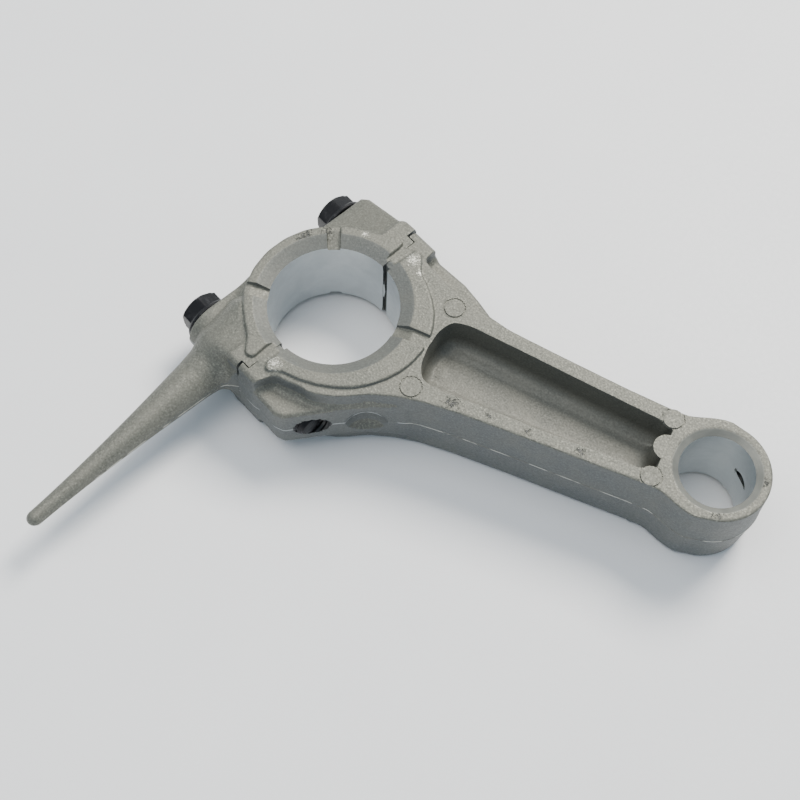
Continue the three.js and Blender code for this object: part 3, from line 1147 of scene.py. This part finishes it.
        pin = bore(x - SIZES.centres, y, z, SIZES.pin_bore, SIZES.pin_chamfer, SIZES.face)
        body = cut(body, oil_groove(x, y, z, 0.6), 0.15)
        body = cut(body, pin, 0.2)
        dimple_x, dimple_y, radius = self.dimple
        dimple = np.hypot(np.hypot(x - dimple_x, y - dimple_y), z) - radius
        return cut(body, dimple, 0.2)

    def _oil_hole_axis(self, x: Array, y: Array) -> tuple[Array, Array]:
        """Places read beside the oil hole's axis and along it, from where it leaves the pin bore.

        Args:
            x: Place along the rod.
            y: Place across the rod.

        Returns:
            Distance to the side of the axis, and distance along it, outwards.
        """
        exit_angle, run_angle = (math.radians(degrees) for degrees in self.oil_hole[:2])
        from_x = x - SIZES.centres - SIZES.pin_bore * math.cos(exit_angle)
        from_y = y - SIZES.pin_bore * math.sin(exit_angle)
        run_x, run_y = math.cos(run_angle), math.sin(run_angle)
        return from_x * run_y - from_y * run_x, from_x * run_x + from_y * run_y

    def _cut_split(self, body: Array, x: Array, y: Array, z: Array) -> Array:
        """Cut the split face with its steps, the bolt holes, the relief in the bore and the oil hole.

        Args:
            body: Signed distance of the casting before these cuts.
            x: Place along the rod.
            y: Place across the rod.
            z: Height from mid-thickness.

        Returns:
            The distance at each place, with the cuts.
        """
        along, across = SPLIT.read(x, y)
        outer = np.abs(across) - SIZES.step_start
        keep = np.minimum(SIZES.gap / 2 - along, np.maximum(-SIZES.step_depth - along, -outer))
        body = both(body, keep, 0.12)
        thread_start, ridge_height, mouth = 12.0, 0.3, -10.0
        for side, end in zip((1, -1), self.tapped):
            aside = across - side * SIZES.bolt_offset
            ridge = ridge_height * thread_ridges(along, aside, z, SIZES.thread_pitch)
            hole = np.hypot(aside, z) - SIZES.bolt_hole + np.where(along > thread_start, ridge, 0.0)
            body = cut(body, np.maximum(np.maximum(hole, along - end), mouth - along), 0.15)
        body = cut(body, split_relief(x, y, z))
        aside, outwards = self._oil_hole_axis(x, y)
        inner_end = -6.0
        return cut(body, np.maximum(np.hypot(aside, z) - self.oil_hole[2], inner_end - outwards))

    def _zones(self, data: MeshData) -> Array:
        """Which finish each face has.

        Args:
            data: The casting's surface.

        Returns:
            A RodZone's number for each face.
        """
        x, y, z = data.points[data.faces].mean(axis=1).T
        steep = data.steepness()
        along, across = SPLIT.read(x, y)
        pin_reach = np.hypot(x - SIZES.centres, y) - SIZES.pin_bore
        bored = on_crank_bore(x, y, steep) | ((pin_reach < ON_FACE) & (steep > 0.8))
        # Faces in the bolt holes and round the oil hole take the near-black painted shade.
        hole = (np.hypot(np.abs(across) - SIZES.bolt_offset, z) < SIZES.bolt_hole + 0.1) & (along > 0.3)
        aside, _ = self._oil_hole_axis(x, y)
        near_oil_hole = (pin_reach > 0.1) & (np.abs(z) < 1.3) & (y > 5.0) & (np.abs(aside) < 1.3)
        # Pocket faces take the darker painted shade.
        pocket = (self.pocket.distance(x, y) < 0.4) & (np.abs(z) < SIZES.face - 0.35)
        # Upright faces take the darker, bluer painted shade and cool reflection.
        zones = np.where(steep > 0.6, RodZone.SIDE_SHADE_REFLECTION, RodZone.CAST)
        layers = (
            (pocket, RodZone.POCKET_SHADE),
            ((hole & (along < 24)) | near_oil_hole, RodZone.DRILLED_SHADE),
            (bored, RodZone.BORED),
            # The crank bore's chamfers take the darker, bluer painted reflection.
            (on_chamfer(x, y, z, SIZES.crank_bore, SIZES.crank_chamfer, SIZES.pad), RodZone.CHAMFER_REFLECTION),
            (on_chamfer(x - SIZES.centres, y, z, SIZES.pin_bore, SIZES.pin_chamfer, SIZES.face), RodZone.TURNED),
        )
        for found, zone in layers:
            zones = np.where(found, zone, zones)
        return zones

    def build(self, shop: Workshop, materials: Sequence[bpy.types.Material]) -> None:
        """Make the piece, ride it on the rod's body and let it stand for the CAD rod.

        Args:
            shop: Makes the object.
            materials: One for each RodZone, in order.
        """
        pitch = working_pitch()
        lines = spaced(*ROD_SPAN[0], pitch)
        start, end = self.plain_shank
        detailed = (lines < start) | (lines > end)
        lines = lines[detailed | (np.arange(len(lines)) % SHANK_SKIP == 0)]
        data = Lattice(lines, spaced(*ROD_SPAN[1], pitch), level_lines()).skin(self.shape)
        item = shop.piece("rod_casting", data, materials, self._zones(data))
        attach(item, "rod")
        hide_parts("rod_body")


@dataclass
class CapCasting:
    """The bearing cap: ring half, lugs, bolt seats, thrust pads and the oil dipper.

    Attributes:
        ring: Outer radius of the ring under its pads.
        dipper_root: Where the dipper's axis starts.
        dipper_tip: Where its nose ends.
        root_radius: Half the dipper's width at its root.
        tip_radius: Radius of its nose.
        fin: How far the parting line stands out on the dipper.
        upper_lug: Outline of the upper lug at the split.
        lower_lug: Outline of the lower lug.
        upper_boss: Outline of the upper bolt boss.
        shoulder: Outline of the shoulder between the lower bolt's barrel and the dipper.
        pad: Outline of the thrust pads.
        groove_angles: Directions of the two oil grooves, in degrees.
    """

    ring: float = 24.0
    dipper_root: Point = (-23.6, -22.1)
    dipper_tip: Point = (-44.4, -86.5)
    root_radius: float = 7.1
    tip_radius: float = 2.1
    fin: float = 0.15
    upper_lug: Outline = Outline((
        SPLIT.point(-6.9, 17), SPLIT.point(4, 17), SPLIT.point(4, 32.6), SPLIT.point(-6.9, 32.6)), radius=0.8)
    lower_lug: Outline = Outline((
        SPLIT.point(-6.9, -31.4), SPLIT.point(4, -31.4), SPLIT.point(4, -17), SPLIT.point(-6.9, -17)), radius=0.8)
    upper_boss: Outline = Outline((
        SPLIT.point(-23.6, 16.2), SPLIT.point(3, 12), SPLIT.point(3, 31.8), SPLIT.point(-21.5, 32),
        SPLIT.point(-23.6, 30.6)), radius=0.8)
    shoulder: Outline = Outline((
        (*SPLIT.point(-19.0, -30.8), 2.0), SPLIT.point(-4, -31.3), SPLIT.point(-4, -10), SPLIT.point(-19, -10)),
        radius=0.8)
    pad: Outline = Outline((
        (*SPLIT.point(-1.2, 15), 0.3), (*SPLIT.point(-1.2, 24.6), 2.0), (8.6, 25.3, 1.2), (7, 26.0, 1.4),
        (4.6, 25.3, 4.0), (0, 24.4), (-6, 23.5), (-12, 21.1), (-17.2, 17.2), (-21, 12.2), (-23.5, 6.2),
        (-24.3, 0), (-23.6, -5.8), (-21.4, -11.5), (-18, -16.3, 5.0), (-15.8, -19.0, 5.0), (-14.9, -21.6, 2.0),
        (-13.9, -23.9, 1.4), (-11.6, -24.3, 1.4), (*SPLIT.point(-1.9, -21.6), 2.0), (*SPLIT.point(-1.6, -18.5), 3.0),
        (*SPLIT.point(-1.6, -14), 0.3)), radius=14.0)
    groove_angles: Point = (116.7, 196.0)

    def dipper(self, x: Array, y: Array, z: Array) -> Array:
        """The dipper: a round spike whose radius falls with the 1.5th power of the way left to its nose.

        Args:
            x: Place along the rod.
            y: Place across the rod.
            z: Height from mid-thickness.

        Returns:
            The signed distance at each place.
        """
        root, tip = np.array(self.dipper_root), np.array(self.dipper_tip)
        axis = tip - root
        reach = float(np.linalg.norm(axis)) - self.tip_radius
        ax, ay = axis / np.linalg.norm(axis)
        px, py = x - root[0], y - root[1]
        stub, flatness, root_swell, root_end = -0.16, 0.95, 2.2, 0.15
        way = np.clip((px * ax + py * ay) / reach, stub, 1.0)
        radius = self.tip_radius + (self.root_radius - self.tip_radius) * (1.0 - way) ** 1.5
        aside = np.hypot(px - ax * way * reach, py - ay * way * reach)
        thickness = flatness + root_swell * np.maximum(root_end - way, 0.0)
        seam = self.fin * np.exp(-((z / SIZES.fin_width) ** 2))
        return np.hypot(aside, z / thickness) - radius - seam

    def shape(self, x: Array, y: Array, z: Array) -> Array:
        """The casting as a signed distance, negative in metal.

        Args:
            x: Place along the rod.
            y: Place across the rod.
            z: Height from mid-thickness.

        Returns:
            The distance at each place.
        """
        above, swell = np.abs(z), lean(z)
        along, across = SPLIT.read(x, y)
        body = both(np.hypot(x, y) - self.ring - swell, above - SIZES.face, 0.5)
        body = with_lugs(body, (self.upper_lug, self.lower_lug), x, y, above)
        boss_rise, boss_start, boss_edge, boss_fillet = 0.29, 22.0, 1.2, 2.5
        upper_top = (above - SIZES.boss - boss_rise * (along + boss_start)) / 1.04
        body = joined(body, both(self.upper_boss.distance(x, y), upper_top, boss_edge), boss_fillet)
        barrel_swell, barrel_side, barrel_front, barrel_fillet = 0.1, 10.0, 6.0, 4.0
        aside = across + SIZES.bolt_offset
        barrel = np.where(aside < 0, np.hypot(aside, z), above) - SIZES.boss - barrel_swell
        block = both(barrel, np.maximum(-SIZES.seat - along, across + barrel_side), 0.5)
        body = joined(body, np.maximum(block, along + barrel_front), barrel_fillet)
        shoulder_rise, shoulder_start, shoulder_top, shoulder_edge = 0.46, 16.6, 12.7, 1.6
        slope = (above - SIZES.boss - shoulder_rise * (along + shoulder_start)) / 1.1
        top = np.maximum(slope, above - shoulder_top)
        shoulder = both(self.shoulder.distance(x, y) - 0.5 * swell, top, shoulder_edge)
        dipper_fillet = 5.0
        body = joined(body, joined(shoulder, self.dipper(x, y, z), dipper_fillet), 0.5)
        body = np.maximum(body, above - SIZES.face)
        body = with_pad(body, self.pad, x, y, above)
        for degrees in self.groove_angles:
            body = cut(body, oil_groove(x, y, z, degrees), 0.15)
        body = cut(body, bore(x, y, z, SIZES.crank_bore, SIZES.crank_chamfer, SIZES.pad))
        side_gap, notch_spread = 0.3, 0.008
        outer = np.abs(across) - SIZES.step_start + side_gap
        notch = along + SIZES.step_depth + SIZES.step_gap - notch_spread * (SIZES.face - z)
        keep = np.maximum(along + SIZES.gap / 2, np.minimum(notch, outer))
        body = both(body, keep, 0.12)
        for side in (1, -1):
            hole = np.hypot(across - side * SIZES.bolt_offset, z) - SIZES.bolt_hole
            body = cut(body, hole, 0.3)
        return cut(body, split_relief(x, y, z))

    def build(self, shop: Workshop, materials: Sequence[bpy.types.Material]) -> None:
        """Make the piece, ride it on the cap's body and let it stand for the CAD cap.

        Args:
            shop: Makes the object.
            materials: One for each CapZone, in order.
        """
        pitch = working_pitch()
        data = Lattice(*(spaced(*span, pitch) for span in CAP_SPAN), level_lines()).skin(self.shape)
        x, y, z = data.points[data.faces].mean(axis=1).T
        steep = data.steepness()
        seat = (SPLIT.read(x, y)[0] < 0.06 - SIZES.seat) & (steep > 0.95)
        # Upright faces take the darker, bluer painted shade and cool reflection.
        zones = np.where(steep > 0.88, CapZone.SIDE_SHADE_REFLECTION, CapZone.CAST)
        zones = np.where(on_crank_bore(x, y, steep) | seat, CapZone.BORED, zones)
        # The crank bore's chamfers take the darker, bluer painted reflection.
        chamfer = on_chamfer(x, y, z, SIZES.crank_bore, SIZES.crank_chamfer, SIZES.pad)
        zones = np.where(chamfer, CapZone.CHAMFER_REFLECTION, zones)
        item = shop.piece("cap_casting", data, materials, zones)
        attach(item, "cap")
        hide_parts("bearing_cap")


@dataclass
class FlangeBolt:
    """A hex flange bolt, turned about its own axis and threaded over its lower half.

    Attributes:
        across: Its axis's place across the split.
        hex_flat: Half the width across the flats.
        flange: Radius of the flange.
        flange_thickness: Its thickness at the rim.
        head: Height of the whole head.
        shank: Radius of the shank.
        length: Length under the head.
        plain: Length of the plain shank above the thread.
        thread_depth: Depth of the thread.
        around: Points around the axis.
    """

    across: float
    hex_flat: float = 5.5
    flange: float = 7.2
    flange_thickness: float = 1.4
    head: float = 6.0
    shank: float = 3.9
    length: float = 42.8
    plain: float = 18.0
    thread_depth: float = 0.58
    around: int = 96

    def rows(self) -> tuple[Array, Array, Array]:
        """The profile from the middle of the head to the middle of the tip.

        Returns:
            Places along the axis from the head's top, round radii, and how much of each radius
            follows the hexagon.
        """
        root, wide = self.head - self.flange_thickness, 7.5
        recess = [(0.45, 0.0, 0), (0.45, 2.6, 0), (0.12, 3.1, 0), (0.0, 3.5, 0), (0.0, 4.9, 0)]
        hexagon = [
            (0.1, 5.15, 1), (0.45, 5.75, 1), (0.9, 6.35, 1), (1.5, wide, 1), (2.6, wide, 1),
            (root - 0.7, wide, 1), (root - 0.45, wide, 1), (root - 0.15, wide, 0.6),
        ]
        flange = [
            (root + 0.05, 6.9, 0), (root + 0.35, 7.05, 0), (root + 0.6, self.flange, 0),
            (self.head - 0.25, self.flange, 0), (self.head - 0.05, self.flange - 0.15, 0),
            (self.head, self.flange - 0.4, 0), (self.head, self.shank + 0.7, 0),
            (self.head + 0.3, self.shank + 0.1, 0),
        ]
        starts, tip = self.head + self.plain, self.head + self.length
        plain = [(self.head + 0.7, self.shank, 0), (starts - 0.4, self.shank, 0)]
        thread = [(s, self.shank, 0) for s in spaced(starts, tip - 0.9, SIZES.thread_pitch / 8)]
        end = [(tip - 0.7, self.shank - 0.3, 0), (tip - 0.1, self.shank - 0.85, 0), (tip, self.shank - 1.1, 0),
               (tip, 1.2, 0), (tip, 0.0, 0)]
        table = np.array(recess + hexagon + flange + plain + thread + end, float)
        return table[:, 0], table[:, 1], table[:, 2]

    def mesh(self) -> MeshData:
        """The bolt's surface as a grid of places along and around its axis.

        The radius is the profile's. In the head it is no more than the hexagon's, which is the flat's
        distance over the cosine of the angle from the flat's middle. In the thread it dips by a
        triangle wave that climbs one pitch a turn.

        Returns:
            The mesh, in millimetres about the crank bore.
        """
        place, radius, hexed = self.rows()
        angle = np.linspace(0.0, 2 * math.pi, self.around, endpoint=False)[None, :]
        sector = np.mod(angle + math.pi / 6, math.pi / 3) - math.pi / 6
        hexagon = self.hex_flat / np.cos(sector) - 0.06 * np.exp(-(((np.abs(sector) - math.pi / 6) / 0.05) ** 2))
        r = radius[:, None] * np.ones_like(angle)
        r = np.where(hexed[:, None] > 0, np.minimum(r, hexagon), r)
        starts, tip = self.head + self.plain, self.head + self.length
        wave = triangle_wave(place[:, None] / SIZES.thread_pitch - angle / (2 * math.pi))
        ease = np.clip((place[:, None] - starts) / SIZES.thread_pitch, 0, 1) * np.clip(tip - place[:, None], 0, 1)
        r = r - self.thread_depth * np.clip(1.25 * wave - 0.12, 0.0, 1.0) * ease
        along = place[:, None] + np.zeros_like(angle) - SIZES.seat - SIZES.seat_gap - self.head
        side, up = r * np.cos(angle) + self.across, r * np.sin(angle)
        x = along * SPLIT.along[0] + side * SPLIT.across[0]
        y = along * SPLIT.along[1] + side * SPLIT.across[1]
        return grid_skin(np.stack([x, y, up], axis=2))

    def build(self, shop: Workshop, black: bpy.types.Material, name: str, body: str, node: str) -> None:
        """Make the bolt and let it stand for its CAD node.

        Args:
            shop: Makes the object.
            black: Its material.
            name: Object name.
            body: The body it rides on.
            node: The CAD node that it replaces.
        """
        data = self.mesh()
        item = shop.piece(name, data, (black,), np.zeros(len(data.faces)), crease=28.0)
        merge_poles(item)
        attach(item, body)
        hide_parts(node)


def grid_skin(points: Array) -> MeshData:
    """Faces of a grid of points that closes around and is gathered to a pole at both ends.

    Args:
        points: Rows along the axis, columns around it.

    Returns:
        The mesh, its faces pointing outwards for columns that turn from across to up.
    """
    rows, columns = points.shape[:2]
    number = np.arange(rows * columns).reshape(rows, columns)
    after = np.roll(number, -1, axis=1)
    faces = np.stack([number[:-1], after[:-1], after[1:], number[1:]], axis=2).reshape(-1, 4)
    return MeshData(points.reshape(-1, 3), faces)


def merge_poles(item: bpy.types.Object) -> None:
    """Gather the doubled points at a turned piece's poles and point its faces outwards.

    Args:
        item: The piece, changed in place.
    """
    work = bmesh.new()
    work.from_mesh(item.data)
    bmesh.ops.remove_doubles(work, verts=work.verts, dist=1e-7)
    bmesh.ops.dissolve_degenerate(work, edges=work.edges, dist=1e-8)
    bmesh.ops.recalc_face_normals(work, faces=work.faces)
    work.to_mesh(item.data)
    work.free()


# ---------------------------------------------------------------- studio


@dataclass(frozen=True)
class CameraView:
    """Where the camera stands, looking at a place on the rod's mid-plane.

    Attributes:
        aim: The place, in millimetres from the crank bore's centre.
        azimuth: Direction of the camera, in degrees from -Y towards +X.
        elevation: Its height, in degrees.
        roll: Turn about its own axis, in degrees.
        distance: Distance from the place, in millimetres.
        lens: Focal length on a 36 mm sensor.
    """

    aim: tuple[float, float, float] = (26.07, -12.30, 0.0)
    azimuth: float = 22.97
    elevation: float = 64.15
    roll: float = 3.01
    distance: float = 363.44
    lens: float = 60.365

    def make(self, shop: Workshop) -> None:
        """Create the camera and make it the scene's."""
        data = bpy.data.cameras.new("camera")
        data.lens = self.lens
        data.sensor_width = 36.0
        data.clip_start = 0.01
        az, el, roll = (math.radians(v) for v in (self.azimuth, self.elevation, self.roll))
        back = Vector((math.cos(el) * math.sin(az), -math.cos(el) * math.cos(az), math.sin(el)))
        level = Vector((0, 0, 1)).cross(back).normalized()
        upright = back.cross(level)
        right = level * math.cos(roll) + upright * math.sin(roll)
        up = upright * math.cos(roll) - level * math.sin(roll)
        place = Vector(shop.place(np.array(self.aim))) + back * (self.distance * MM)
        camera = bpy.data.objects.new("camera", data)
        camera.matrix_world = Matrix((
            (right.x, up.x, back.x, place.x), (right.y, up.y, back.y, place.y),
            (right.z, up.z, back.z, place.z), (0, 0, 0, 1)))
        bpy.context.scene.collection.objects.link(camera)
        bpy.context.scene.camera = camera


@dataclass(frozen=True)
class Softbox:
    """A soft area light that faces the rod.

    Attributes:
        name: Object name.
        place: Its place in metres.
        size: Side of its square, in metres.
        power: Watts.
        colour: Its colour.
    """

    name: str
    place: tuple[float, float, float]
    size: float
    power: float
    colour: tuple[float, float, float] = (1.0, 1.0, 1.0)

    def make(self) -> None:
        """Create the light."""
        data = bpy.data.lights.new(self.name, "AREA")
        data.shape, data.size, data.energy, data.color = "SQUARE", self.size, self.power, self.colour
        item = bpy.data.objects.new(self.name, data)
        item.location = self.place
        item.rotation_euler = Vector(self.place).to_track_quat("Z", "Y").to_euler()
        bpy.context.scene.collection.objects.link(item)


@dataclass
class Studio:
    """The bench top, the room's light and the softboxes."""

    floor_size: float = 4.0
    room: tuple[float, ...] = (0.66, 0.80, 0.93, 1.0)
    room_strength: float = 0.70
    lights: Sequence[Softbox] = field(default_factory=lambda: (
        Softbox("key", (0.18, 0.88, 1.12), 0.55, 31.0, (1.0, 0.955, 0.88)),
        Softbox("top", (-0.45, -0.15, 1.35), 1.0, 11.0, (1.0, 0.97, 0.93)),
    ))

    def build(self) -> None:
        """Make the bench top, the room and the lights."""
        half = self.floor_size / 2
        mesh = bpy.data.meshes.new("bench_top")
        mesh.from_pydata([(-half, -half, 0), (half, -half, 0), (half, half, 0), (-half, half, 0)], [], [(0, 1, 2, 3)])
        mesh.materials.append(BenchFinish().make("bench_paint"))
        floor = bpy.data.objects.new("bench_top", mesh)
        bpy.context.scene.collection.objects.link(floor)
        world = bpy.data.worlds.new("room")
        world.use_nodes = True
        background = world.node_tree.nodes["Background"]
        background.inputs["Color"].default_value = self.room
        background.inputs["Strength"].default_value = self.room_strength
        bpy.context.scene.world = world
        for light in self.lights:
            light.make()


def main() -> None:
    """Build the studio and then each sub-assembly."""
    shop = Workshop(frame["record"])
    CameraView().make(shop)
    Studio().build()
    machined = MachinedFinish().make("bored_aluminium")
    rod_metal = CastFinish(
        rubbed=(WearSpot(-5.5, -23.5, 14, 4.5), WearSpot(13.5, 21.5, 14, 5), WearSpot(17, 18.5, 14, 2.5)),
        nicked=(WearSpot(41, -13, 13, 5), WearSpot(51, -12, 13, 2.5), WearSpot(62, -11.5, 13, 2.5),
                WearSpot(76.5, -10.8, 13, 3), WearSpot(114, -11, 13, 3.5), WearSpot(122, 2, 13, 3)),
    ).make("cast_rod_aluminium", shop)
    cap_metal = CastFinish(
        rubbed=(WearSpot(-2, 23, 14, 2.5),),
        nicked=(WearSpot(-16, 15, 14, 6), WearSpot(-11, 19, 14, 5)),
    ).make("cast_cap_aluminium", shop)
    black = BlackOxideFinish().make("black_oxide")
    # Near-black painted shade for the holes.
    drilled_shade = DRILLED_SHADE_FINISH.make("drilled_shade_aluminium")
    # Darker, bluer painted reflection for the crank bore's chamfers.
    chamfer = CHAMFER_REFLECTION_FINISH.make("chamfer_reflection_aluminium", shop)
    turned = TURNED_FINISH.make("turned_aluminium")
    # Darker, bluer painted shade and cool reflection for upright faces.
    side = SIDE_SHADE_REFLECTION_FINISH.make("side_shade_reflection_aluminium", shop)
    # Darker painted shade for the pockets.
    pocket = POCKET_SHADE_FINISH.make("pocket_shade_aluminium", shop)
    RodCasting().build(shop, (rod_metal, machined, drilled_shade, chamfer, turned, side, pocket))
    CapCasting().build(shop, (cap_metal, machined, chamfer, side))
    FlangeBolt(SIZES.bolt_offset).build(shop, black, "upper_bolt", "upper_bolt", "upper_cap_bolt")
    FlangeBolt(-SIZES.bolt_offset).build(shop, black, "lower_bolt", "lower_bolt", "lower_cap_bolt")


if __name__ == "__main__":
    main()
